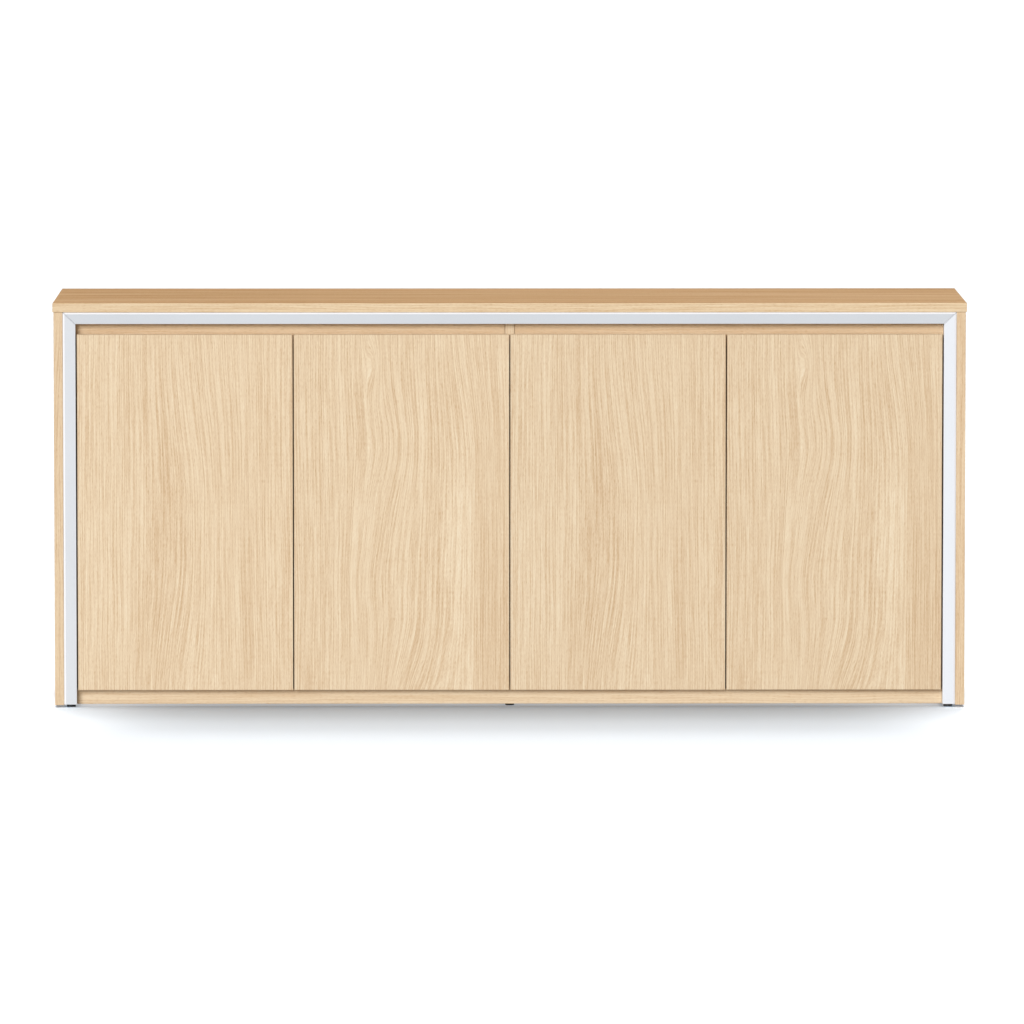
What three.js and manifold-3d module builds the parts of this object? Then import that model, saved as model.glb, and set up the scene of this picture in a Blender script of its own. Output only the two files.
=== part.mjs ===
// Office credenza: four flush doors under a finger gap, inside a mitred metal
// frame, wrapped by a top panel and two end panels.
// Millimetres, +Z up, the front faces -Y, the origin is on the floor in the
// middle of the footprint.
import * as THREE from "three";
import { mergeVertices } from "three/addons/utils/BufferGeometryUtils.js";
import Module from "manifold-3d";

// ---------------------------------------------------------------- dimensions
const WIDTH = 1800, DEPTH = 450, HEIGHT = 800;   // over the top panel
const BOARD = 18;                                // board thickness
const OVERHANG = 2;                              // top panel past the end panels
const END_BOTTOM = 4.5;                          // end panels stop above the floor

// white frame: two legs and a bar, mitred at the corners
const FRAME_FRONT = -224, FRAME_BACK = -187;
const LEG_FACE = 25, BAR_FACE = 23;              // seen widths
const FRAME_BEVEL = 3.5, FRAME_BEVEL_DEPTH = 1.5;  // outer front edge
const FRAME_WALL = 2;
const LEG_BOTTOM = 6, PLUG = 30;                 // solid end of a leg over its foot

// doors
const DOOR_FRONT = -223, DOOR_T = 16;
const DOOR_Z0 = 34.5, DOOR_Z1 = 738;
const DOOR_SIDE_GAP = 3, DOOR_GAP = 2.5;

// inner cabinet
const CARCASS_FRONT = -187, CARCASS_BACK = 205;
const OVERLAY = 7.75;                            // door over the board it hangs on
const BASE_BOTTOM = 7, FLOOR_Z = 35;             // top of the bottom panel
const RAIL_FRONT = -203, KICK_BOTTOM = 5;        // kick rail, behind the doors
const TOP_RAIL_Z0 = 716, TOP_RAIL_FRONT = -202.5;  // close behind the doors
const BACK_T = 12;
const POST_Y0 = 165;
const SHELF_Z = 380, SHELF_Y0 = -160, SHELF_Y1 = 203;
const PIN_Y = [-110, 150];
const JOINT = 0.25;                              // seam between two boards

// concealed hinge, in the plane seen from above: u runs inboard from the
// door's hinge edge, v runs back from the door front
const HINGE_A = [33, 11], HINGE_B = [15, 7.5];   // arm pin, cup pin
const HINGE_Z = [137, 636];
const CUP_U = 21, CUP_R = 17.5, CUP_WALL = 1.2, CUP_DEPTH = 12.3, CUP_FLOOR = 0.8;
const PIN_R = 1.1, EYE_R = 2.7, EYE_HOLE = 1.4, LINK_T = 3.2, LINK_HALF = 5.5;

// levelling feet
const FOOT_R = 9, STUD_R = 4, BORE_R = 4.4;

// ---------------------------------------------------------------- helpers
const wasm = await Module();
wasm.setup();

function solid(geometry) {
  const g = geometry.clone();
  g.deleteAttribute("normal");
  g.deleteAttribute("uv");
  const m = mergeVertices(g, 1e-4);
  const t = m.index.array, keep = [];
  for (let i = 0; i < t.length; i += 3)          // drop the empty triangles at a pole
    if (t[i] !== t[i + 1] && t[i + 1] !== t[i + 2] && t[i] !== t[i + 2]) keep.push(t[i], t[i + 1], t[i + 2]);
  return new wasm.Manifold(new wasm.Mesh({
    numProp: 3,
    vertProperties: new Float32Array(m.attributes.position.array),
    triVerts: new Uint32Array(keep),
  }));
}
function geometryOf(body) {
  const mesh = body.getMesh();
  const g = new THREE.BufferGeometry();
  const n = mesh.vertProperties.length / mesh.numProp;
  const p = new Float32Array(n * 3);
  for (let i = 0; i < n; i++)
    for (let k = 0; k < 3; k++) p[3 * i + k] = mesh.vertProperties[mesh.numProp * i + k];
  g.setAttribute("position", new THREE.BufferAttribute(p, 3));
  g.setIndex(new THREE.BufferAttribute(new Uint32Array(mesh.triVerts), 1));
  const flat = g.toNonIndexed();
  flat.computeVertexNormals();
  return flat;
}
function boxGeometry(x0, x1, y0, y1, z0, z1) {
  const g = new THREE.BoxGeometry(x1 - x0, y1 - y0, z1 - z0);
  g.translate((x0 + x1) / 2, (y0 + y1) / 2, (z0 + z1) / 2);
  return g;
}
const box = (...v) => solid(boxGeometry(...v));
// A round bar between two points on one axis ("x", "y" or "z").
function rod(axis, centre, from, to, r, seg = 16) {
  const g = new THREE.CylinderGeometry(r, r, to - from, seg);
  g.rotateY(Math.PI / seg);
  const mid = (from + to) / 2;
  if (axis === "x") { g.rotateZ(-Math.PI / 2); g.translate(mid, centre[0], centre[1]); }
  if (axis === "y") { g.translate(centre[0], mid, centre[1]); }
  if (axis === "z") { g.rotateX(Math.PI / 2); g.translate(centre[0], centre[1], mid); }
  return solid(g);
}
// A flat outline in x, y pulled up from z0 to z1.
function upright(points, z0, z1, holes = []) {
  let ring = points.map(([x, y]) => new THREE.Vector2(x, y));
  if (THREE.ShapeUtils.isClockWise(ring)) ring = ring.reverse();
  const shape = new THREE.Shape(ring);
  for (const h of holes) shape.holes.push(new THREE.Path(h.map(([x, y]) => new THREE.Vector2(x, y))));
  const g = new THREE.ExtrudeGeometry(shape, { depth: z1 - z0, bevelEnabled: false });
  g.translate(0, 0, z0);
  return solid(g);
}
// A flat outline in y, z pulled along x.
function sideways(points, x0, x1) {
  const shape = new THREE.Shape(points.map(([y, z]) => new THREE.Vector2(y, z)));
  const g = new THREE.ExtrudeGeometry(shape, { depth: x1 - x0, bevelEnabled: false });
  const m = new THREE.Matrix4().makeBasis(
    new THREE.Vector3(0, 1, 0), new THREE.Vector3(0, 0, 1), new THREE.Vector3(1, 0, 0));
  g.applyMatrix4(m);
  g.translate(x0, 0, 0);
  return solid(g);
}
function circle(cx, cy, r, seg) {
  return Array.from({ length: seg }, (_, i) => {
    const t = (2 * Math.PI * i) / seg;
    return [cx + r * Math.cos(t), cy + r * Math.sin(t)];
  });
}

const root = new THREE.Group();
const OAK = { color: 0xe6cdaa, roughness: 0.5, metalness: 0 };
const WHITE = { color: 0xdfe2e6, roughness: 0.4, metalness: 0.3 };
const NICKEL = { color: 0xb9b7b0, roughness: 0.3, metalness: 1 };
const BLACK = { color: 0x262628, roughness: 0.6, metalness: 0 };
function piece(name, body, look) {
  const mesh = new THREE.Mesh(
    body.isBufferGeometry ? body : geometryOf(body), new THREE.MeshStandardMaterial(look));
  mesh.name = name;
  root.add(mesh);
}

// ---------------------------------------------------------------- outer boards
const END_OUT = WIDTH / 2 - OVERHANG, END_IN = END_OUT - BOARD;       // 898, 880
const UNDER_TOP = HEIGHT - BOARD;                                     // 782
piece("top_panel",
  box(-WIDTH / 2, WIDTH / 2, -DEPTH / 2, DEPTH / 2, UNDER_TOP, HEIGHT), OAK);
const END_Y = DEPTH / 2 - OVERHANG;
piece("left_end_panel",
  box(-END_OUT, -END_IN, -END_Y, END_Y, END_BOTTOM, UNDER_TOP - JOINT), OAK);
piece("right_end_panel",
  box(END_IN, END_OUT, -END_Y, END_Y, END_BOTTOM, UNDER_TOP - JOINT), OAK);

// ---------------------------------------------------------------- white frame
const LEG_OUT = END_IN - JOINT, LEG_IN = END_IN - LEG_FACE;           // 879.75, 855
const BAR_Z1 = UNDER_TOP - JOINT, BAR_Z0 = UNDER_TOP - BAR_FACE;      // 781.75, 759
const MITRE_GAP = 0.15;
// wedge that keeps the bar's side (above) or the leg's side (below) of the mitre
function mitreWedge(side, above) {
  const dx = LEG_OUT - LEG_IN, dz = BAR_Z1 - BAR_Z0, len = Math.hypot(dx, dz);
  const ox = (dz / len) * MITRE_GAP, oz = (dx / len) * MITRE_GAP;
  const s = above ? 1 : -1;
  const inner = [LEG_IN - dx * 2 - s * ox, BAR_Z0 - dz * 2 + s * oz];
  const outer = [LEG_OUT + dx - s * ox, BAR_Z1 + dz + s * oz];
  const far = above ? [inner[0], outer[1]] : [outer[0], inner[1]];
  const outline = [inner, outer, far].map(([x, z]) => new THREE.Vector2(side * x, z));
  const g = new THREE.ExtrudeGeometry(new THREE.Shape(outline), { depth: 80, bevelEnabled: false });
  g.rotateX(Math.PI / 2);                 // shape plane to x, z; depth to -y
  g.translate(0, -165, 0);
  return solid(g);
}
function leg(side) {
  const bx = LEG_OUT - FRAME_BEVEL, by = FRAME_FRONT + FRAME_BEVEL_DEPTH;
  const outline = [
    [LEG_IN, FRAME_FRONT], [bx, FRAME_FRONT], [LEG_OUT, by],
    [LEG_OUT, FRAME_BACK - JOINT], [LEG_IN, FRAME_BACK - JOINT]].map(([x, y]) => [side * x, y]);
  const inside = [
    [LEG_IN + FRAME_WALL, FRAME_FRONT + FRAME_WALL], [bx - 1, FRAME_FRONT + FRAME_WALL],
    [LEG_OUT - FRAME_WALL, by + 1], [LEG_OUT - FRAME_WALL, FRAME_BACK - FRAME_WALL],
    [LEG_IN + FRAME_WALL, FRAME_BACK - FRAME_WALL]].map(([x, y]) => [side * x, y]);
  return upright(outline, LEG_BOTTOM, BAR_Z1)
    .subtract(upright(inside, LEG_BOTTOM + PLUG, BAR_Z1 + 10))
    .subtract(rod("z", [side * FRONT_FOOT_X, FRONT_FOOT_Y], LEG_BOTTOM - 5, LEG_BOTTOM + 24, BORE_R))
    .intersect(mitreLegKeep(side));
}
// the leg keeps everything under the mitre: the wedge plus the long shaft
function mitreLegKeep(side) {
  const a = Math.min(side * (LEG_IN - 5), side * (LEG_OUT + 5));
  const b = Math.max(side * (LEG_IN - 5), side * (LEG_OUT + 5));
  return mitreWedge(side, false)
    .add(box(a, b, -245, -165, -20, BAR_Z0 - MITRE_GAP * 2));
}
function bar() {
  const bz = BAR_Z1 - FRAME_BEVEL, by = FRAME_FRONT + FRAME_BEVEL_DEPTH;
  const outline = [
    [FRAME_FRONT, BAR_Z0], [FRAME_BACK - JOINT, BAR_Z0], [FRAME_BACK - JOINT, BAR_Z1],
    [by, BAR_Z1], [FRAME_FRONT, bz]];
  const inside = [
    [FRAME_FRONT + FRAME_WALL, BAR_Z0 + FRAME_WALL], [FRAME_BACK - FRAME_WALL, BAR_Z0 + FRAME_WALL],
    [FRAME_BACK - FRAME_WALL, BAR_Z1 - FRAME_WALL], [by + 1, BAR_Z1 - FRAME_WALL],
    [FRAME_FRONT + FRAME_WALL, bz - 1]];
  return sideways(outline, -LEG_OUT, LEG_OUT)
    .subtract(sideways(inside, -LEG_OUT - 5, LEG_OUT + 5))
    .intersect(mitreWedge(-1, true).add(mitreWedge(1, true))
      .add(box(-LEG_IN + 4, LEG_IN - 4, -245, -165, BAR_Z0 - 5, BAR_Z1 + 5)));
}
const FRONT_FOOT_X = 866.5, FRONT_FOOT_Y = -205.5;
piece("frame_left_leg", leg(-1), WHITE);
piece("frame_right_leg", leg(1), WHITE);
piece("frame_top_bar", bar(), WHITE);

// ---------------------------------------------------------------- inner cabinet
const DOOR_OUT = LEG_IN - DOOR_SIDE_GAP;                              // 852
const DOOR_W = (2 * DOOR_OUT - 3 * DOOR_GAP) / 4;
const GABLE_IN = DOOR_OUT - OVERLAY, GABLE_OUT = GABLE_IN + BOARD;    // 844.25, 862.25
const HALF_P = BOARD / 2;                                             // partition 18 mm
const PIN_Z = SHELF_Z - 3;
const PIN_BORE = 2.8, PIN_STUD = 2.5;

function pinBores(faceX, into) {
  // two blind bores from a board's face, "into" is the direction into the board
  const bores = PIN_Y.map((y) => into > 0
    ? rod("x", [y, PIN_Z], faceX - 1, faceX + 8, PIN_BORE, 10)
    : rod("x", [y, PIN_Z], faceX - 8, faceX + 1, PIN_BORE, 10));
  return bores[0].add(bores[1]);
}
// gables: plain boards behind the frame and the rails
function gable(side) {
  const outline = [
    [CARCASS_FRONT, BASE_BOTTOM], [CARCASS_BACK, BASE_BOTTOM],
    [CARCASS_BACK, UNDER_TOP - JOINT], [CARCASS_FRONT, UNDER_TOP - JOINT]];
  const x0 = side < 0 ? -GABLE_OUT : GABLE_IN, x1 = side < 0 ? -GABLE_IN : GABLE_OUT;
  return sideways(outline, x0, x1).subtract(pinBores(side * GABLE_IN, side));
}
piece("left_gable", gable(-1), OAK);
piece("right_gable", gable(1), OAK);
const CENTRE_FOOT_Y = [-178, 188];
piece("bottom_panel",
  box(-GABLE_IN + JOINT, GABLE_IN - JOINT, CARCASS_FRONT + JOINT, CARCASS_BACK, FLOOR_Z - BOARD, FLOOR_Z)
    .subtract(rod("z", [0, CENTRE_FOOT_Y[0]], FLOOR_Z - BOARD - 5, FLOOR_Z - 3, BORE_R))
    .subtract(rod("z", [0, CENTRE_FOOT_Y[1]], FLOOR_Z - BOARD - 5, FLOOR_Z - 3, BORE_R)), OAK);
piece("kick_rail",
  box(-LEG_IN + JOINT, LEG_IN - JOINT, RAIL_FRONT, CARCASS_FRONT - JOINT, KICK_BOTTOM, FLOOR_Z), OAK);
const PART_GAP = 0.6;
piece("left_top_rail",
  box(-LEG_IN + JOINT, -HALF_P - PART_GAP, TOP_RAIL_FRONT, CARCASS_FRONT - JOINT,
    TOP_RAIL_Z0, BAR_Z0 - JOINT), OAK);
piece("right_top_rail",
  box(HALF_P + PART_GAP, LEG_IN - JOINT, TOP_RAIL_FRONT, CARCASS_FRONT - JOINT,
    TOP_RAIL_Z0, BAR_Z0 - JOINT), OAK);
piece("centre_partition",
  sideways([                               // notched at the top front for the frame's bar
    [TOP_RAIL_FRONT, FLOOR_Z + JOINT], [CARCASS_BACK, FLOOR_Z + JOINT],
    [CARCASS_BACK, UNDER_TOP - JOINT], [CARCASS_FRONT, UNDER_TOP - JOINT],
    [CARCASS_FRONT, BAR_Z0 - JOINT], [TOP_RAIL_FRONT, BAR_Z0 - JOINT]], -HALF_P, HALF_P)
    .subtract(pinBores(-HALF_P, 1)).subtract(pinBores(HALF_P, -1)), OAK);
piece("back_panel",
  box(-GABLE_OUT, GABLE_OUT, CARCASS_BACK + JOINT, CARCASS_BACK + JOINT + BACK_T,
    FLOOR_Z - BOARD, UNDER_TOP - JOINT), OAK);
const REAR_FOOT_X = (GABLE_OUT + END_IN) / 2, REAR_FOOT_Y = 190;
for (const [name, side] of [["left_rear_post", -1], ["right_rear_post", 1]]) {
  const a = side < 0 ? -END_IN + JOINT : GABLE_OUT + JOINT;
  const b = side < 0 ? -GABLE_OUT - JOINT : END_IN - JOINT;
  piece(name, box(a, b, POST_Y0, CARCASS_BACK + JOINT + BACK_T, LEG_BOTTOM, UNDER_TOP - JOINT)
    .subtract(rod("z", [side * REAR_FOOT_X, REAR_FOOT_Y], 0, LEG_BOTTOM + 24, BORE_R)), OAK);
}
for (const [name, side] of [["left_shelf", -1], ["right_shelf", 1]]) {
  const inner = HALF_P + 1.25, outer = GABLE_IN - 1.25;
  piece(name, box(side < 0 ? -outer : inner, side < 0 ? -inner : outer,
    SHELF_Y0, SHELF_Y1, SHELF_Z, SHELF_Z + BOARD), OAK);
}
// shelf pins: a stud in the board and a wider head just under the shelf
function shelfPin(faceX, out, y) {
  const r = out > 0 ? [faceX - 7.5, faceX + 0.4, faceX + 9] : [faceX - 9, faceX - 0.4, faceX + 7.5];
  const stud = rod("x", [y, PIN_Z], r[0], r[2], PIN_STUD, 10);
  const head = out > 0
    ? rod("x", [y, PIN_Z], r[1], r[1] + 1.6, 4.2, 10)
    : rod("x", [y, PIN_Z], r[1] - 1.6, r[1], 4.2, 10);
  // the collar is cut flat on top so the shelf clears it
  return stud.add(head).subtract(box(faceX - 20, faceX + 20, y - 20, y + 20, SHELF_Z - 0.3, SHELF_Z + 20));
}
for (const [shelf, faces] of [
  ["left_shelf", [[-GABLE_IN, 1, "outer"], [-HALF_P, -1, "inner"]]],
  ["right_shelf", [[GABLE_IN, -1, "outer"], [HALF_P, 1, "inner"]]]]) {
  for (const [faceX, out, where] of faces)
    PIN_Y.forEach((y, i) => piece(`${shelf}_pin_${where}_${i ? "rear" : "front"}`,
      shelfPin(faceX, out, y), NICKEL));
}

// ---------------------------------------------------------------- doors and hinges
// Each door's hinge frame: world x = edge + side * u, y = DOOR_FRONT + v.
const DOORS = [1, 2, 3, 4].map((n) => {
  const x0 = -DOOR_OUT + (n - 1) * (DOOR_W + DOOR_GAP), x1 = x0 + DOOR_W;
  const side = n % 2 ? 1 : -1;             // doors 1, 3 hang on their left edge
  return { n, x0, x1, side, edge: side > 0 ? x0 : x1 };
});
const V = (v) => DOOR_FRONT + v;
// an outline in u, v (already closed, any winding) pulled from z0 to z1
function hingeUpright(door, pts, z0, z1, holes = []) {
  const put = (list) => list.map(([u, v]) => [door.edge + door.side * u, V(v)]);
  return upright(put(pts), z0, z1, holes.map(put));
}
function eyeBar(a, b, r, t) {
  // outline of two round eyes joined by a bar of thickness t
  const ang = Math.atan2(b[1] - a[1], b[0] - a[0]), half = Math.asin(t / 2 / r);
  const pts = [];
  const N = 8;
  for (let i = 0; i <= N; i++) {
    const q = ang + half + ((2 * Math.PI - 2 * half) * i) / N;
    pts.push([a[0] + r * Math.cos(q), a[1] + r * Math.sin(q)]);
  }
  for (let i = 0; i <= N; i++) {
    const q = ang + Math.PI + half + ((2 * Math.PI - 2 * half) * i) / N;
    pts.push([b[0] + r * Math.cos(q), b[1] + r * Math.sin(q)]);
  }
  return pts;
}
for (const d of DOORS) {
  const X = (u) => d.edge + d.side * u;
  let leaf = box(d.x0, d.x1, DOOR_FRONT, DOOR_FRONT + DOOR_T, DOOR_Z0, DOOR_Z1);
  for (const z of HINGE_Z)
    leaf = leaf.subtract(rod("y", [X(CUP_U), z],
      V(DOOR_T - CUP_DEPTH - 0.3), V(DOOR_T + 2), CUP_R + 0.3, 24));
  piece(`door_${d.n}`, leaf, OAK);

  HINGE_Z.forEach((z, i) => {
    const name = `hinge_${d.n}_${i ? "upper" : "lower"}`;
    // cup: a shallow can with two screw wings, and the pin across it
    const can = rod("y", [X(CUP_U), z], V(DOOR_T - CUP_DEPTH), V(DOOR_T + 0.3), CUP_R, 24)
      .subtract(rod("y", [X(CUP_U), z],
        V(DOOR_T - CUP_DEPTH + CUP_FLOOR), V(DOOR_T + 5), CUP_R - CUP_WALL, 24))
      // the rim is notched where the link folds over it
      .subtract(box(Math.min(X(-4), X(9)), Math.max(X(-4), X(9)), V(DOOR_T - 1.6), V(DOOR_T + 5), z - 6.6, z + 6.6));
    const xa = Math.min(X(CUP_U - 8.5), X(CUP_U + 8.5)), xb = Math.max(X(CUP_U - 8.5), X(CUP_U + 8.5));
    const wings = box(xa, xb, V(DOOR_T + 0.3), V(DOOR_T + 1.4), z - 27, z + 27)
      .subtract(rod("y", [X(CUP_U), z], V(DOOR_T - 1), V(DOOR_T + 5), CUP_R - CUP_WALL, 24));
    const collar = box(xa, xb, V(DOOR_T - 0.5), V(DOOR_T + 0.9), z - 17, z + 17)
      .intersect(rod("y", [X(CUP_U), z], V(DOOR_T - 1), V(DOOR_T + 2), CUP_R, 24))
      .subtract(rod("y", [X(CUP_U), z], V(DOOR_T - 2), V(DOOR_T + 5), CUP_R - CUP_WALL, 24));
    const cupPin = rod("z", [X(HINGE_B[0]), V(HINGE_B[1])], z - 15.7, z + 15.7, PIN_R, 8);
    const screws = [-22.5, 22.5].map((w) =>
      rod("y", [X(CUP_U), z + w], V(DOOR_T + 1.2), V(DOOR_T + 2.3), 3.3, 10));
    piece(`${name}_cup`, can.add(wings).add(collar).add(cupPin).add(screws[0]).add(screws[1]), NICKEL);

    // link: an eye round the cup pin, a fork round the arm pin
    const holes = [circle(HINGE_A[0], HINGE_A[1], EYE_HOLE, 8), circle(HINGE_B[0], HINGE_B[1], EYE_HOLE, 8)];
    const fork = rod("z", [X(HINGE_A[0]), V(HINGE_A[1])], z - 3.3, z + 3.3, EYE_R + 0.8, 12);
    piece(`${name}_link`,
      hingeUpright(d, eyeBar(HINGE_A, HINGE_B, EYE_R, LINK_T), z - LINK_HALF, z + LINK_HALF, holes)
        .subtract(fork), NICKEL);

    // arm: pin and single eye inside the fork, a neck out of the cup, a wide
    // body cranked back to the board, and the mounting plate with its screws
    const [au, av] = HINGE_A;
    const neckOutline = [[au - EYE_R, av], [au - EYE_R, 25], [au + EYE_R, 25], [au + EYE_R, av]];
    const neck = hingeUpright(d, neckOutline, z - 2.9, z + 2.9)
      .add(rod("z", [X(au), V(av)], z - 2.9, z + 2.9, EYE_R, 12));
    const armPin = rod("z", [X(au), V(av)], z - LINK_HALF, z + LINK_HALF, PIN_R, 8);
    const bodyOutline = [
      [au - 3.2, 23.5], [au + 3.2, 23.5], [au + 3.2, 31], [25, 47], [22.5, 97],
      [OVERLAY + 2.5, 97], [OVERLAY + 2.5, 46], [20, 40], [au - 3.2, 30]];
    const body = hingeUpright(d, bodyOutline, z - 7.5, z + 7.5);
    const pa = Math.min(X(OVERLAY + 0.25), X(OVERLAY + 3)), pb = Math.max(X(OVERLAY + 0.25), X(OVERLAY + 3));
    const plate = box(pa, pb, V(52), V(90), z - 24, z + 24);
    const heads = [-16.5, 16.5].map((w) => {
      const a = Math.min(X(OVERLAY + 2.5), X(OVERLAY + 4.2)), b = Math.max(X(OVERLAY + 2.5), X(OVERLAY + 4.2));
      return rod("x", [V(71), z + w], a, b, 3.6, 10);
    });
    piece(`${name}_arm`, neck.add(armPin).add(body).add(plate).add(heads[0]).add(heads[1]), NICKEL);
  });
}

// ---------------------------------------------------------------- levelling feet
// A flat pad, a hub and a threaded stud screwed up into its socket.
function foot(x, y, hubTop, studTop) {
  const profile = [
    [0, 0], [FOOT_R - 0.8, 0], [FOOT_R, 0.8], [FOOT_R, 4.2], [FOOT_R - 1, 5.4],
    [STUD_R + 2, 5.4], [STUD_R + 2, hubTop], [STUD_R, hubTop], [STUD_R, studTop], [0, studTop]].map(([r, z]) => new THREE.Vector2(r, z));
  const g = new THREE.LatheGeometry(profile, 16);
  g.rotateX(Math.PI / 2);
  g.translate(x, y, 0);
  return solid(g);
}
const SOCKET = LEG_BOTTOM - 0.3;
piece("foot_front_left", foot(-FRONT_FOOT_X, FRONT_FOOT_Y, SOCKET, 26), BLACK);
piece("foot_front_right", foot(FRONT_FOOT_X, FRONT_FOOT_Y, SOCKET, 26), BLACK);
piece("foot_front_centre", foot(0, CENTRE_FOOT_Y[0], FLOOR_Z - BOARD - 0.3, 30), BLACK);
piece("foot_rear_left", foot(-REAR_FOOT_X, REAR_FOOT_Y, SOCKET, 26), BLACK);
piece("foot_rear_right", foot(REAR_FOOT_X, REAR_FOOT_Y, SOCKET, 26), BLACK);
piece("foot_rear_centre", foot(0, CENTRE_FOOT_Y[1], FLOOR_Z - BOARD - 0.3, 30), BLACK);

export default root;
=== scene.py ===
import math

import bmesh
import bpy
from mathutils import Matrix, Vector


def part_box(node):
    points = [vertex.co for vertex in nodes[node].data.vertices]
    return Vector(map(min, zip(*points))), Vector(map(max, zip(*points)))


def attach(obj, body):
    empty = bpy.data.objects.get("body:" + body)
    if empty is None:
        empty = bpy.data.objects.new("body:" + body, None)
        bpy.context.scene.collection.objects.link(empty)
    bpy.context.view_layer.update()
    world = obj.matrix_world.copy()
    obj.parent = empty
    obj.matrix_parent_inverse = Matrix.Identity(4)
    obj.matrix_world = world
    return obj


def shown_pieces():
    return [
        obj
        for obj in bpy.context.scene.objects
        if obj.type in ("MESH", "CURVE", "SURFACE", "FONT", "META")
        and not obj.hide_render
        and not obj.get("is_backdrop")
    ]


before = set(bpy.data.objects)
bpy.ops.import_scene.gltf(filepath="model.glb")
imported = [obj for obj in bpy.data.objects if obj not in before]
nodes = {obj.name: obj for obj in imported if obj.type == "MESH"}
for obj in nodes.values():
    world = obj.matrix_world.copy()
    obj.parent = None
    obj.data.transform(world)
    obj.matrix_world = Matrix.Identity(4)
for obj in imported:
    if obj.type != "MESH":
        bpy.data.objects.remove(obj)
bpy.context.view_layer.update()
AXIS = {"x": 0, "y": 1, "z": 2}


def lin(r, g, b, gain=1.0):
    """An 8-bit display colour as linear light."""
    def one(c):
        c /= 255.0
        return c / 12.92 if c <= 0.04045 else ((c + 0.055) / 1.055) ** 2.4
    return (one(r) * gain, one(g) * gain, one(b) * gain, 1.0)


# ------------------------------------------------------------------ node helper
class Tree:
    """A material's node tree, with short calls for the nodes used here."""

    def __init__(self, name):
        self.mat = bpy.data.materials.new(name)
        self.mat.use_nodes = True
        self.t = self.mat.node_tree
        self.t.nodes.clear()
        self.bsdf = self.t.nodes.new("ShaderNodeBsdfPrincipled")
        out = self.t.nodes.new("ShaderNodeOutputMaterial")
        self.t.links.new(self.bsdf.outputs["BSDF"], out.inputs["Surface"])

    def put(self, socket, value):
        if isinstance(value, bpy.types.NodeSocket):
            self.t.links.new(value, socket)
        elif value is not None:
            socket.default_value = value

    def math(self, op, a, b=None, c=None, clamp=False):
        n = self.t.nodes.new("ShaderNodeMath")
        n.operation = op
        n.use_clamp = clamp
        for s, v in zip(n.inputs, (a, b, c)):
            self.put(s, v)
        return n.outputs[0]

    def add(self, a, b):
        return self.math("ADD", a, b)

    def sub(self, a, b):
        return self.math("SUBTRACT", a, b)

    def mul(self, a, b):
        return self.math("MULTIPLY", a, b)

    def total(self, *terms):
        acc = terms[0]
        for x in terms[1:]:
            acc = self.add(acc, x)
        return acc

    def affine(self, x, scale, offset):
        return self.math("MULTIPLY_ADD", x, scale, offset)

    def gauss(self, x, centre, width):
        d = self.affine(x, 1 / width, -centre / width)
        return self.math("EXPONENT", self.mul(self.mul(d, d), -1.0))

    def step(self, x, a, b, lo=0.0, hi=1.0):
        n = self.t.nodes.new("ShaderNodeMapRange")
        n.interpolation_type = "SMOOTHSTEP"
        n.clamp = True
        self.put(n.inputs["Value"], x)
        n.inputs["From Min"].default_value = a
        n.inputs["From Max"].default_value = b
        n.inputs["To Min"].default_value = lo
        n.inputs["To Max"].default_value = hi
        return n.outputs["Result"]

    def remap(self, x, a, b, lo, hi):
        n = self.t.nodes.new("ShaderNodeMapRange")
        n.clamp = True
        self.put(n.inputs["Value"], x)
        n.inputs["From Min"].default_value = a
        n.inputs["From Max"].default_value = b
        n.inputs["To Min"].default_value = lo
        n.inputs["To Max"].default_value = hi
        return n.outputs["Result"]

    def xyz(self, x, y, z):
        n = self.t.nodes.new("ShaderNodeCombineXYZ")
        for s, v in zip(n.inputs, (x, y, z)):
            self.put(s, v)
        return n.outputs[0]

    def split(self, v):
        n = self.t.nodes.new("ShaderNodeSeparateXYZ")
        self.put(n.inputs[0], v)
        return n.outputs

    def coords(self):
        n = self.t.nodes.new("ShaderNodeTexCoord")
        return n.outputs["Object"], n.outputs["Normal"]

    def noise(self, vector, detail=0.0, rough=0.5, scale=1.0, distortion=0.0):
        n = self.t.nodes.new("ShaderNodeTexNoise")
        n.noise_dimensions = "3D"
        self.put(n.inputs["Vector"], vector)
        n.inputs["Scale"].default_value = scale
        n.inputs["Detail"].default_value = detail
        n.inputs["Roughness"].default_value = rough
        n.inputs["Distortion"].default_value = distortion
        return n.outputs["Fac"]

    def voronoi(self, vector, scale=1.0, randomness=1.0):
        n = self.t.nodes.new("ShaderNodeTexVoronoi")
        self.put(n.inputs["Vector"], vector)
        n.inputs["Scale"].default_value = scale
        n.inputs["Randomness"].default_value = randomness
        return n.outputs["Distance"]

    def ramp(self, fac, stops):
        n = self.t.nodes.new("ShaderNodeValToRGB")
        cr = n.color_ramp
        while len(cr.elements) < len(stops):
            cr.elements.new(0.5)
        for e, (p, c) in zip(cr.elements, stops):
            e.position = p
            e.color = c
        self.put(n.inputs["Fac"], fac)
        return n.outputs["Color"]

    def mix(self, fac, a, b, mode="MIX"):
        n = self.t.nodes.new("ShaderNodeMix")
        n.data_type = "RGBA"
        n.blend_type = mode
        self.put(n.inputs[0], fac)
        self.put(n.inputs[6], a)
        self.put(n.inputs[7], b)
        return n.outputs[2]

    def lerp(self, fac, a, b):
        n = self.t.nodes.new("ShaderNodeMix")
        n.data_type = "FLOAT"
        self.put(n.inputs[0], fac)
        self.put(n.inputs[2], a)
        self.put(n.inputs[3], b)
        return n.outputs[0]

    def bump(self, height, strength, distance, normal=None):
        n = self.t.nodes.new("ShaderNodeBump")
        n.inputs["Strength"].default_value = strength
        n.inputs["Distance"].default_value = distance
        self.put(n.inputs["Height"], height)
        if normal is not None:
            self.put(n.inputs["Normal"], normal)
        return n.outputs["Normal"]

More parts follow.
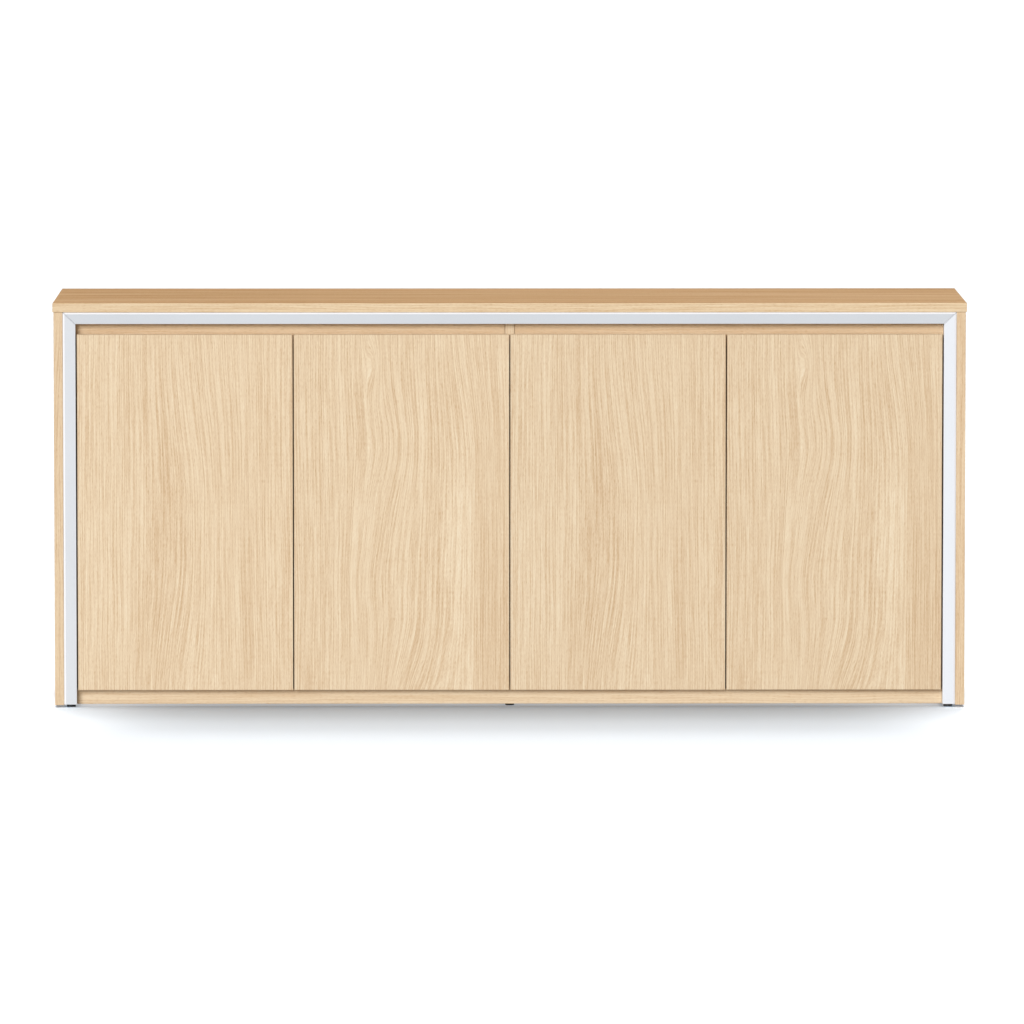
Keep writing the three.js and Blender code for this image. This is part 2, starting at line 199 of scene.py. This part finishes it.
    def shade(self, **kw):
        for name, v in kw.items():
            self.put(self.bsdf.inputs[name.replace("_", " ")], v)
        return self.mat


# ------------------------------------------------------------------ wood decor
STOPS = [(0.0, (203, 168, 129)), (0.32, (222, 193, 156)), (0.5, (232, 207, 173)),
         (0.68, (240, 218, 185)), (1.0, (249, 234, 207))]
TOP_STOPS = [(0.0, (160, 116, 72)), (0.32, (182, 140, 94)), (0.5, (193, 152, 107)),
             (0.68, (203, 164, 122)), (1.0, (217, 181, 142))]


def stops(table, gain, tint=(1, 1, 1)):
    out = []
    for p, c in table:
        l = lin(*c)
        out.append((p, (min(1, l[0] * gain * tint[0]), min(1, l[1] * gain * tint[1]),
                        min(1, l[2] * gain * tint[2]), 1.0)))
    return out


def straight(t, a, l, seed):
    """Sideways drift of straight-grown lines, in metres."""
    n1 = t.noise(t.xyz(t.mul(a, 3.0), t.mul(l, 1.1), seed + 3.1))
    n2 = t.noise(t.xyz(t.mul(a, 11.0), t.mul(l, 3.4), seed + 7.7))
    n3 = t.noise(t.xyz(t.mul(a, 40.0), t.mul(l, 9.0), seed + 5.2))
    return t.total(t.affine(n1, 0.030, -0.015), t.affine(n2, 0.010, -0.005), t.affine(n3, 0.0030, -0.0015))


def figure_a(t, fx, fz):
    """First door figure: the middle lines lean over on the way down, the foot fans out."""
    lean = t.mul(t.mul(t.step(fz, -0.05, 0.50), t.gauss(fx, 0.57, 0.20)), 0.032)
    off = t.affine(fx, 1 / 0.14, -0.63 / 0.14)
    fan = t.mul(t.mul(t.mul(off, t.gauss(fx, 0.63, 0.20)), t.step(fz, 0.58, 1.06)), 0.013)
    swing = t.mul(t.mul(t.step(fz, 0.62, 1.08), t.gauss(fx, 0.42, 0.16)), -0.020)
    return t.total(lean, fan, swing)


def figure_b(t, fx, fz):
    """Second door figure: a small eye at the top, a bend at a third, a strong sweep at the foot."""
    eye = t.mul(t.mul(t.gauss(fx, 0.372, 0.034), t.gauss(fz, 0.085, 0.085)), 0.0165)
    lean = t.mul(t.mul(t.step(fz, -0.06, 0.36), t.gauss(fx, 0.83, 0.13)), 0.027)
    hump = t.mul(t.mul(t.gauss(fz, 0.30, 0.11), t.gauss(fx, 0.44, 0.13)), 0.013)
    left = t.mul(t.mul(t.step(fz, 0.32, 0.66), t.gauss(fx, 0.43, 0.15)), -0.020)
    belly = t.mul(t.mul(t.gauss(fz, 0.70, 0.11), t.gauss(fx, 0.34, 0.09)), -0.010)
    sweep = t.mul(t.mul(t.step(fz, 0.78, 1.12), t.gauss(fx, 0.53, 0.17)), -0.036)
    return t.total(eye, lean, hump, left, belly, sweep)


def wood(name, node, n_axis, g_axis, seed, gain=1.0, figure=None, table=STOPS, upper=None,
         contrast=1.0, tint=(1, 1, 1), bands=1.0, gloss=0.22):
    """Printed oak decor on one board: n_axis is its thickness, g_axis its grain. The lines run
    round the long edges, and the short ends carry edge band whose lines run along them."""
    t = Tree(name)
    lo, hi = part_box(node)
    o_axis = ({"x", "y", "z"} - {n_axis, g_axis}).pop()
    pos, nrm = t.coords()
    p, n = t.split(pos), t.split(nrm)
    N, G, O = p[AXIS[n_axis]], p[AXIS[g_axis]], p[AXIS[o_axis]]
    end = t.step(t.math("ABSOLUTE", n[AXIS[g_axis]]), 0.68, 0.74)
    across = t.lerp(end, t.add(O, N), t.affine(N, 1.0, 0.37))
    along = t.lerp(end, G, O)
    drift = straight(t, across, along, seed)
    extra = None
    if figure:
        w, h = hi.x - lo.x, hi.z - lo.z
        fx = t.affine(p[0], 1 / w, -lo.x / w)
        fz = t.affine(p[2], -1 / h, hi.z / h)
        across = t.affine(p[0], 1.0, -lo.x)
        across = t.add(across, N)
        along = t.affine(p[2], 1.0, -hi.z)
        drift = t.add(t.mul(straight(t, across, along, seed), 0.8), figure(t, fx, fz))
        if figure is figure_b:
            pale = t.mul(t.sub(t.step(fx, 0.69, 0.77), t.step(fx, 0.834, 0.846)), t.step(fz, 0.22, 0.50))
            tan = t.mul(t.step(fx, 0.834, 0.848), t.step(fz, 0.34, 0.60))
            streak = t.mul(t.gauss(fx, 0.12, 0.030), t.step(fz, 0.75, 0.2))
            extra = t.total(t.mul(pale, 0.07), t.mul(tan, -0.09), t.mul(streak, -0.06))
        else:
            mid = t.mul(t.gauss(fx, 0.40, 0.10), t.step(fz, 0.15, 0.45))
            edge = t.gauss(fx, 0.03, 0.10)
            extra = t.add(t.mul(mid, -0.07), t.mul(edge, 0.05))
    h = t.sub(across, drift)
    broad = t.noise(t.xyz(t.mul(h, 19.0), t.mul(along, 0.9), seed + 0.3), detail=1.0)
    mid = t.noise(t.xyz(t.mul(h, 95.0), t.mul(along, 2.0), seed + 11.2), detail=1.0, rough=0.5)
    line = t.noise(t.xyz(t.mul(h, 420.0), t.mul(along, 3.0), seed + 23.9), detail=0.0)
    line = t.step(line, 0.33, 0.64)
    fine = t.noise(t.xyz(t.mul(h, 640.0), t.mul(along, 24.0), seed + 31.7), detail=1.0)
    fibre = t.noise(t.xyz(t.mul(h, 1300.0), t.mul(along, 150.0), seed + 41.1), detail=1.0)
    pores = t.step(t.noise(t.xyz(t.mul(h, 760.0), t.mul(along, 95.0), seed + 53.0)), 0.60, 0.72)
    tone = t.total(t.affine(broad, 0.17 * bands, 0.5 - 0.085 * bands),
                   t.affine(mid, 0.24 * contrast, -0.12 * contrast),
                   t.affine(line, 0.25 * contrast, -0.135 * contrast),
                   t.affine(fine, 0.60 * contrast, -0.30 * contrast),
                   t.affine(fibre, 0.52 * contrast, -0.26 * contrast),
                   t.mul(pores, -0.12))
    if extra is not None:
        tone = t.add(tone, extra)
    colour = t.ramp(tone, stops(table, gain, tint))
    if upper is not None:
        # the upper face shows a deeper tone than the edges
        over = t.step(n[2], 0.80, 0.95)
        wide = t.noise(t.xyz(t.mul(h, 26.0), t.mul(along, 0.8), seed + 71.0), detail=2.0)
        deep = t.add(t.affine(tone, 0.85, -0.375), t.affine(wide, 1.1, -0.05))
        colour = t.mix(over, colour, t.ramp(deep, stops(upper, 0.585, (1.0, 1.02, 1.0))))
    # fine joint of the edge band round the board's faces
    ring = None
    for ax in (g_axis, o_axis):
        i = AXIS[ax]
        away = t.sub((hi[i] - lo[i]) / 2, t.math("ABSOLUTE", t.affine(p[i], 1.0, -(hi[i] + lo[i]) / 2)))
        away = t.gauss(away, 0.0011, 0.00025)
        ring = away if ring is None else t.math("MAXIMUM", ring, away)
    face = t.step(t.math("ABSOLUTE", n[AXIS[n_axis]]), 0.90, 0.97)
    ring = t.mul(ring, face)
    colour = t.mix(t.mul(ring, 0.35), colour, lin(150, 116, 80))
    height = t.total(t.mul(line, 0.35), t.mul(fine, 0.5), t.mul(fibre, 0.45), t.mul(pores, -0.6), t.mul(ring, -1.2))
    rough = t.remap(t.add(t.mul(fine, 0.5), t.mul(line, 0.5)), 0.2, 0.8, 0.60, 0.48)
    return t.shade(Base_Color=colour, Roughness=rough, Specular_IOR_Level=gloss,
                   Normal=t.bump(height, 0.22, 0.00035))


# ------------------------------------------------------------------ other finishes
def painted(name, colour, seed):
    """Satin powder coat: slight orange peel, faint drift of tone, a painted highlight on the chamfered edges, a dark
    hairline at the mitres.
    """
    t = Tree(name)
    pos, nrm = t.coords()
    p = t.split(pos)
    cloud = t.noise(pos, detail=2.0, scale=3.0 + seed)
    speck = t.noise(pos, detail=1.0, scale=420.0)
    peel = t.noise(pos, detail=1.0, scale=650.0)
    c = lin(*colour)
    tone = t.add(t.affine(cloud, 0.55, 0.22), t.affine(speck, 0.25, -0.12))
    base = t.ramp(tone, [(0.30, tuple(x * 0.962 for x in c[:3]) + (1,)), (0.5, c),
                         (0.70, tuple(min(1, x * 1.03) for x in c[:3]) + (1,))])
    # painted highlight: where the normal leans off the axes, on the chamfered edges, the coat is painted near-white to
    # stand for the light those edges catch
    n = t.split(nrm)
    square = t.math("MAXIMUM", t.math("ABSOLUTE", n[0]), t.math("MAXIMUM", t.math("ABSOLUTE", n[1]), t.math("ABSOLUTE", n[2])))
    painted_edge_highlight = t.step(square, 0.985, 0.94)
    base = t.mix(t.mul(painted_edge_highlight, 0.85), base, lin(253, 252, 254))
    ax = t.math("ABSOLUTE", p[0])
    off = t.math("ABSOLUTE", t.sub(t.affine(ax, 1.0, -0.87975), t.affine(p[2], 1.0, -0.78175)))
    seam = t.mul(t.step(off, 0.0011, 0.0004), t.step(p[2], 0.752, 0.757))
    base = t.mix(t.mul(seam, 0.45), base, lin(150, 156, 166))
    rough = t.remap(speck, 0.3, 0.7, 0.30, 0.38)
    height = t.add(t.mul(peel, 1.0), t.mul(seam, -2.0))
    return t.shade(Base_Color=base, Roughness=rough, Specular_IOR_Level=0.5,
                   Normal=t.bump(height, 0.10, 0.0003))


def nickel(name):
    """Plated pressed steel with a brushed sheen and dull stained patches."""
    t = Tree(name)
    pos, nrm = t.coords()
    p = t.split(pos)
    brush = t.noise(t.xyz(t.mul(p[0], 260.0), t.mul(p[1], 260.0), t.mul(p[2], 5200.0)), detail=2.0)
    stain = t.noise(pos, detail=3.0, scale=95.0)
    base = t.ramp(t.add(t.mul(stain, 0.7), t.mul(brush, 0.3)),
                  [(0.25, (0.43, 0.42, 0.40, 1)), (0.5, (0.60, 0.59, 0.57, 1)), (0.8, (0.72, 0.71, 0.69, 1))])
    rough = t.remap(t.add(t.mul(brush, 0.6), t.mul(stain, 0.4)), 0.25, 0.75, 0.22, 0.42)
    return t.shade(Base_Color=base, Metallic=1.0, Roughness=rough,
                   Normal=t.bump(brush, 0.16, 0.0002))


def plastic(name, colour=(38, 38, 40)):
    """Black moulded plastic with a fine spark-eroded texture and scuffed lower rim."""
    t = Tree(name)
    pos, nrm = t.coords()
    p = t.split(pos)
    grain = t.noise(pos, detail=2.0, scale=1500.0)
    cloud = t.noise(pos, detail=2.0, scale=140.0)
    scuff = t.mul(t.step(p[2], 0.0016, 0.0004), t.step(t.noise(pos, detail=3.0, scale=420.0), 0.50, 0.66))
    c = lin(*colour)
    base = t.ramp(t.add(t.mul(cloud, 0.8), t.mul(grain, 0.2)),
                  [(0.3, tuple(x * 0.75 for x in c[:3]) + (1,)), (0.7, tuple(x * 1.35 for x in c[:3]) + (1,))])
    base = t.mix(t.mul(scuff, 0.4), base, lin(92, 92, 92))
    rough = t.remap(grain, 0.3, 0.7, 0.42, 0.60)
    return t.shade(Base_Color=base, Roughness=rough, Normal=t.bump(grain, 0.25, 0.0002))


def painted_shade_finish(name):
    """Painted shade for the inside of a drilled hole and of a screw's cross recess."""
    t = Tree(name)
    pos, nrm = t.coords()
    hole_speckle = t.noise(pos, detail=2.0, scale=1800.0)
    base = t.ramp(hole_speckle, [(0.3, lin(44, 31, 20)), (0.7, lin(74, 54, 36))])
    rough = t.remap(hole_speckle, 0.3, 0.7, 0.75, 0.9)
    return t.shade(Base_Color=base, Roughness=rough, Normal=t.bump(hole_speckle, 0.3, 0.0003))


def floor_finish():
    """Plain pale seamless floor."""
    t = Tree("studio_floor")
    pos, nrm = t.coords()
    cloud = t.noise(pos, detail=2.0, scale=1.6)
    base = t.ramp(cloud, [(0.3, (0.780, 0.782, 0.785, 1)), (0.7, (0.790, 0.792, 0.795, 1))])
    rough = t.remap(t.noise(pos, detail=1.0, scale=40.0), 0.3, 0.7, 0.78, 0.86)
    return t.shade(Base_Color=base, Roughness=rough, Specular_IOR_Level=0.1)


# ------------------------------------------------------------------ CAD pieces: edges and finishes
def finish_edges(o, width, segments=2, angle=30.0):
    """Welds the imported corners, drops the flat triangulation and rounds the sharp edges."""
    if "custom_normal" in o.data.attributes:
        o.data.attributes.remove(o.data.attributes["custom_normal"])
    for a in ("sharp_edge", "sharp_face"):
        if a in o.data.attributes:
            o.data.attributes.remove(o.data.attributes[a])
    o.data.shade_smooth()
    w = o.modifiers.new("weld", "WELD")
    w.merge_threshold = 1e-6
    d = o.modifiers.new("flats", "DECIMATE")
    d.decimate_type = "DISSOLVE"
    d.angle_limit = math.radians(0.6)
    b = o.modifiers.new("edges", "BEVEL")
    b.width = width
    b.segments = segments
    b.limit_method = "ANGLE"
    b.angle_limit = math.radians(angle)
    b.harden_normals = False
    b.use_clamp_overlap = True
    n = o.modifiers.new("normals", "WEIGHTED_NORMAL")
    n.keep_sharp = True
    n.weight = 60
    return o


def give(name, material):
    o = nodes[name]
    o.data.materials.clear()
    o.data.materials.append(material)
    return o


DOOR_GAIN = {1: 1.0, 2: 0.990, 3: 0.972, 4: 0.968}
for i in (1, 2, 3, 4):
    give(f"door_{i}", wood(f"oak_door_{i}", f"door_{i}", "y", "z", 40.0 if i % 2 else 60.0, DOOR_GAIN[i],
                           figure_a if i % 2 else figure_b))

BOARDS = [
    # node, thickness axis, grain axis, seed, gain
    ("left_end_panel", "x", "z", 101.0, 0.95), ("right_end_panel", "x", "z", 113.0, 0.97),
    ("left_gable", "x", "z", 127.0, 0.97), ("right_gable", "x", "z", 139.0, 0.97),
    ("centre_partition", "x", "z", 151.0, 0.97),
    ("left_rear_post", "x", "z", 163.0, 0.96), ("right_rear_post", "x", "z", 171.0, 0.96),
    # the top rails' low gain is painted shade of the finger recess they sit in
    ("left_top_rail", "y", "x", 183.0, 0.91), ("right_top_rail", "y", "x", 197.0, 0.91),
    # the kick rail's gain, above the other boards', is painted light that lifts the shade it sits in under the doors
    ("kick_rail", "y", "x", 211.0, 1.01), ("bottom_panel", "z", "x", 223.0, 0.97),
    ("left_shelf", "z", "x", 239.0, 0.97), ("right_shelf", "z", "x", 251.0, 0.97),
    ("back_panel", "y", "z", 263.0, 0.97),
]
for node, na, ga, seed, gain in BOARDS:
    # the top rails' warm tint is painted shade of the finger recess
    tint = ((1.0, 0.935, 0.875) if node.endswith("top_rail") else
            (1.0, 0.965, 0.930) if node.endswith("end_panel") else (1, 1, 1))
    calm = 0.62 if node.endswith("_rail") else 0.9
    give(node, wood("oak_" + node, node, na, ga, seed, gain, tint=tint, contrast=calm))
give("top_panel", wood("oak_top_panel", "top_panel", "z", "x", 277.0, 1.0, upper=TOP_STOPS,
                       tint=(1.0, 0.985, 0.955), gloss=0.02, contrast=0.8))
WOOD = [f"door_{i}" for i in (1, 2, 3, 4)] + [b[0] for b in BOARDS] + ["top_panel"]
for node in WOOD:
    finish_edges(nodes[node], 0.0007 if node != "top_panel" else 0.0009, 2)

# One powder coat on all three frame pieces: the top bar's darker colour is painted shade and the right leg's lighter
# colour is painted light, standing in for how the light falls on each
give("frame_top_bar", painted("white_bar", (213, 217, 222), 0.4))
give("frame_left_leg", painted("white_leg_left", (223, 226, 230), 1.1))
give("frame_right_leg", painted("white_leg_right", (238, 241, 246), 1.9))
for node in ("frame_top_bar", "frame_left_leg", "frame_right_leg"):
    finish_edges(nodes[node], 0.0005, 2, 20.0)

steel = nickel("nickel_steel")
black = plastic("moulded_plastic")
# painted shade for the insides of holes and recesses
hole = painted_shade_finish("painted_hole_shade")
for name, o in nodes.items():
    if name.startswith("hinge_") or "_pin_" in name:
        give(name, steel)
        finish_edges(o, 0.00025, 1, 40.0)
    elif name.startswith("foot_"):
        give(name, black)
        finish_edges(o, 0.0004, 2, 40.0)


# ------------------------------------------------------------------ small fittings
def lathe(bm, profile, segments, matrix, slots):
    """Turns (radius, height) points round the z axis of matrix; slots gives each band's material."""
    rings = []
    for r, h in profile:
        if r < 1e-9:
            rings.append([bm.verts.new(matrix @ Vector((0, 0, h)))])
        else:
            rings.append([bm.verts.new(matrix @ Vector((r * math.cos(2 * math.pi * k / segments),
                                                        r * math.sin(2 * math.pi * k / segments), h)))
                          for k in range(segments)])
    for (a, b), s in zip(zip(rings, rings[1:]), slots):
        for k in range(segments):
            j = (k + 1) % segments
            if len(a) == 1:
                f = bm.faces.new((a[0], b[k], b[j]))
            elif len(b) == 1:
                f = bm.faces.new((a[k], b[0], a[j]))
            else:
                f = bm.faces.new((a[k], b[k], b[j], a[j]))
            f.material_index = s
            f.smooth = True


def object_from(bm, name, materials, body):
    bmesh.ops.recalc_face_normals(bm, faces=bm.faces)
    me = bpy.data.meshes.new(name)
    bm.to_mesh(me)
    bm.free()
    me.set_sharp_from_angle(angle=math.radians(35))
    o = bpy.data.objects.new(name, me)
    bpy.context.scene.collection.objects.link(o)
    for m in materials:
        me.materials.append(m)
    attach(o, body)
    return o


def facing(origin, direction):
    """A frame at origin whose z axis points along direction."""
    q = Vector(direction).to_track_quat("Z", "Y")
    return Matrix.Translation(Vector(origin)) @ q.to_matrix().to_4x4()


mm = 0.001
SLEEVE = [(0.0, 0.05 * mm), (2.30 * mm, 0.05 * mm), (2.42 * mm, 0.34 * mm), (2.75 * mm, 0.46 * mm),
          (3.15 * mm, 0.42 * mm), (3.55 * mm, 0.05 * mm), (3.55 * mm, -0.2 * mm), (0.0, -0.2 * mm)]
pin_z = (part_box("left_shelf_pin_outer_front")[0].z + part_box("left_shelf_pin_outer_front")[1].z) / 2


def sleeves(name, x, direction):
    """Rows of pressed-in shelf pin sleeves down a board's inner face."""
    bm = bmesh.new()
    for y in (-0.110, 0.150):
        for k in range(-5, 6):
            if k == 0:
                continue
            m = facing((x, y, pin_z + 0.032 * k), (direction, 0, 0))
            # the flat disc in each sleeve's middle takes the painted hole shade in place of a bore
            lathe(bm, SLEEVE, 20, m, (1, 0, 0, 0, 0, 0, 0))
    return object_from(bm, name, [steel, hole], "carcass")


sleeves("left_gable_sleeves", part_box("left_gable")[1].x, 1)
sleeves("right_gable_sleeves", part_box("right_gable")[0].x, -1)
sleeves("partition_sleeves_left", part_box("centre_partition")[0].x, -1)
sleeves("partition_sleeves_right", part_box("centre_partition")[1].x, 1)


def screw_head(bm, matrix, r=3.6 * mm, turn=0.0):
    """A countersunk screw head with a real cross recess."""
    seg = 24
    prof = [(r * 1.05, -0.15 * mm), (r, 0.22 * mm), (r * 0.86, 0.48 * mm), (r * 0.70, 0.60 * mm)]
    rings = [[bm.verts.new(matrix @ Vector((q * math.cos(2 * math.pi * k / seg), q * math.sin(2 * math.pi * k / seg), h)))
              for k in range(seg)] for q, h in prof]
    for a, b in zip(rings, rings[1:]):
        for k in range(seg):
            j = (k + 1) % seg
            f = bm.faces.new((a[k], a[j], b[j], b[k]))
            f.smooth = True
    w, l = 0.34 * mm, 1.9 * mm
    cross = [(w, w), (w, l), (-w, l), (-w, w), (-l, w), (-l, -w), (-w, -w), (-w, -l), (w, -l), (w, -w), (l, -w), (l, w)]
    ca, sa = math.cos(turn), math.sin(turn)
    cross = [(x * ca - y * sa, x * sa + y * ca) for x, y in cross]
    top = [bm.verts.new(matrix @ Vector((x, y, 0.60 * mm))) for x, y in cross]
    low = [bm.verts.new(matrix @ Vector((x * 0.8, y * 0.8, 0.06 * mm))) for x, y in cross]
    n = len(cross)
    outer = rings[-1]
    edges = []
    for k in range(seg):
        e = bm.edges.get((outer[k], outer[(k + 1) % seg]))
        edges.append(e)
    for k in range(n):
        edges.append(bm.edges.new((top[k], top[(k + 1) % n])))
    bmesh.ops.triangle_fill(bm, use_beauty=True, use_dissolve=False, edges=edges)
    for k in range(n):
        # the cross recess's walls and floor take the painted hole shade
        j = (k + 1) % n
        bm.faces.new((top[k], top[j], low[j], low[k])).material_index = 1
    f = bm.faces.new(low)
    f.material_index = 1
    base = bm.faces.new(list(reversed(rings[0])))
    base.material_index = 0


bm = bmesh.new()
b_lo, b_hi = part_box("back_panel")
turn = 0
for z in (b_lo.z + 0.009, b_hi.z - 0.012):
    for k in range(11):
        x = b_lo.x + 0.030 + (b_hi.x - b_lo.x - 0.060) * k / 10
        turn += 1
        screw_head(bm, facing((x, b_hi.y, z), (0, 1, 0)), turn=turn * 0.7)
for x in (b_lo.x + 0.009, 0.0, b_hi.x - 0.009):
    for k in range(1, 5):
        z = b_lo.z + (b_hi.z - b_lo.z) * k / 5
        turn += 1
        screw_head(bm, facing((x, b_hi.y, z), (0, 1, 0)), turn=turn * 0.7)
object_from(bm, "back_screws", [steel, hole], "carcass")

# ------------------------------------------------------------------ studio
me = bpy.data.meshes.new("floor")
bm = bmesh.new()
bmesh.ops.create_circle(bm, cap_ends=True, segments=96, radius=140.0)
bm.to_mesh(me)
bm.free()
floor = bpy.data.objects.new("floor", me)
bpy.context.scene.collection.objects.link(floor)
me.materials.append(floor_finish())
floor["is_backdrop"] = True
floor.visible_diffuse = False      # the boards are lit by the studio alone, evenly down to the feet

world = bpy.data.worlds.new("studio")
bpy.context.scene.world = world
world.use_nodes = True
wt = world.node_tree
wt.nodes.clear()
w_out = wt.nodes.new("ShaderNodeOutputWorld")
w_bg = wt.nodes.new("ShaderNodeBackground")
w_path = wt.nodes.new("ShaderNodeLightPath")
w_mix = wt.nodes.new("ShaderNodeMix")
w_mix.data_type = "RGBA"
w_mix.inputs[6].default_value = (0.35, 0.322, 0.295, 1)      # what lights the object
w_mix.inputs[7].default_value = (1, 1, 1, 1)               # what the camera sees
wt.links.new(w_path.outputs["Is Camera Ray"], w_mix.inputs[0])
wt.links.new(w_mix.outputs[2], w_bg.inputs["Color"])
w_bg.inputs["Strength"].default_value = 1.0
wt.links.new(w_bg.outputs["Background"], w_out.inputs["Surface"])


def soft_sun(name, to_light, strength, spread, colour=(1, 1, 1)):
    d = bpy.data.lights.new(name, "SUN")
    d.energy = strength
    d.angle = math.radians(spread)
    d.color = colour
    o = bpy.data.objects.new(name, d)
    bpy.context.scene.collection.objects.link(o)
    o.rotation_mode = "QUATERNION"
    o.rotation_quaternion = Vector(to_light).normalized().to_track_quat("Z", "Y")
    o.location = Vector(to_light).normalized() * 6
    return o


def toward(azimuth, elevation):
    """Unit vector from the object to a light; azimuth 0 is the front, positive to the right."""
    a, e = math.radians(azimuth), math.radians(elevation)
    return (math.sin(a) * math.cos(e), -math.cos(a) * math.cos(e), math.sin(e))


for k, (tilt, share) in enumerate(((6, 0.20), (16, 0.28), (29, 0.36), (40, 0.22), (46, 0.09))):
    soft_sun(f"overhead_{k}", toward(180, 90 - tilt), math.pi * share, 13)
key = soft_sun("front_key", toward(-20, 18.5), math.pi * 0.735, 27, (1.0, 1.04, 1.08))
side_l = soft_sun("side_left", toward(-103, 14), math.pi * 0.27, 30)
side_r = soft_sun("side_right", toward(103, 14), math.pi * 0.47, 30)

# the key and the side fills fall on the object alone
lit = bpy.data.collections.new("lit_by_key")
for light in (key, side_l, side_r):
    light.light_linking.receiver_collection = lit
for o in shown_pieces():
    lit.objects.link(o)


def floor_glow(name, location, size_x, size_y, energy):
    """A low panel facing the floor, which it alone lights."""
    d = bpy.data.lights.new(name, "AREA")
    d.shape = "RECTANGLE"
    d.size, d.size_y = size_x, size_y
    d.energy = energy
    o = bpy.data.objects.new(name, d)
    bpy.context.scene.collection.objects.link(o)
    o.location = location
    o.visible_camera = False
    return o


# the shadow on the floor is opened between the feet and fades out at its two ends, and a
# cool fill evens out the warm light the boards throw into it
ground = bpy.data.collections.new("lit_by_floor_lights")
ground.objects.link(floor)
for light in (floor_glow("floor_lift", (0.0, 0.0, 0.0042), 1.70, 0.39, math.pi * 0.30 * 1.70 * 0.39),
              floor_glow("floor_end_left", (-0.890, -0.40, 0.15), 0.06, 0.60, 0.40),
              floor_glow("floor_end_right", (0.895, -0.40, 0.15), 0.06, 0.60, 0.36),
              floor_glow("floor_toe_left", (-0.885, -0.20, 0.03), 0.05, 0.10, 0.0126),
              floor_glow("floor_toe_right", (0.885, -0.20, 0.03), 0.05, 0.10, 0.0126),
              soft_sun("floor_cool", toward(0, 80), math.pi * 0.19, 20, (0.0, 0.5, 1.0))):
    light.light_linking.receiver_collection = ground
    light.light_linking.blocker_collection = ground

cam_d = bpy.data.cameras.new("camera")
cam_d.sensor_width = 36.0
cam_d.lens = 9131.3 / 1024 * 36.0
cam_d.clip_start, cam_d.clip_end = 0.1, 400.0
cam = bpy.data.objects.new("camera", cam_d)
bpy.context.scene.collection.objects.link(cam)
cam.location = (-0.09838, -18.1550, 1.99450)
cam.rotation_mode = "QUATERNION"
pitch, yaw = 0.08939, 0.00573
cam.rotation_quaternion = Vector((math.sin(yaw) * math.cos(pitch), math.cos(yaw) * math.cos(pitch),
                                  -math.sin(pitch))).to_track_quat("-Z", "Y")
bpy.context.scene.camera = cam

vs = bpy.context.scene.view_settings
vs.view_transform = "Standard"
vs.look = "None"
vs.exposure = 0.0
vs.gamma = 1.0

for name in nodes:
    o = nodes[name]
    if name in WOOD:
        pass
    elif name.startswith("frame_"):
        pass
    elif name.startswith("foot_"):
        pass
    else:
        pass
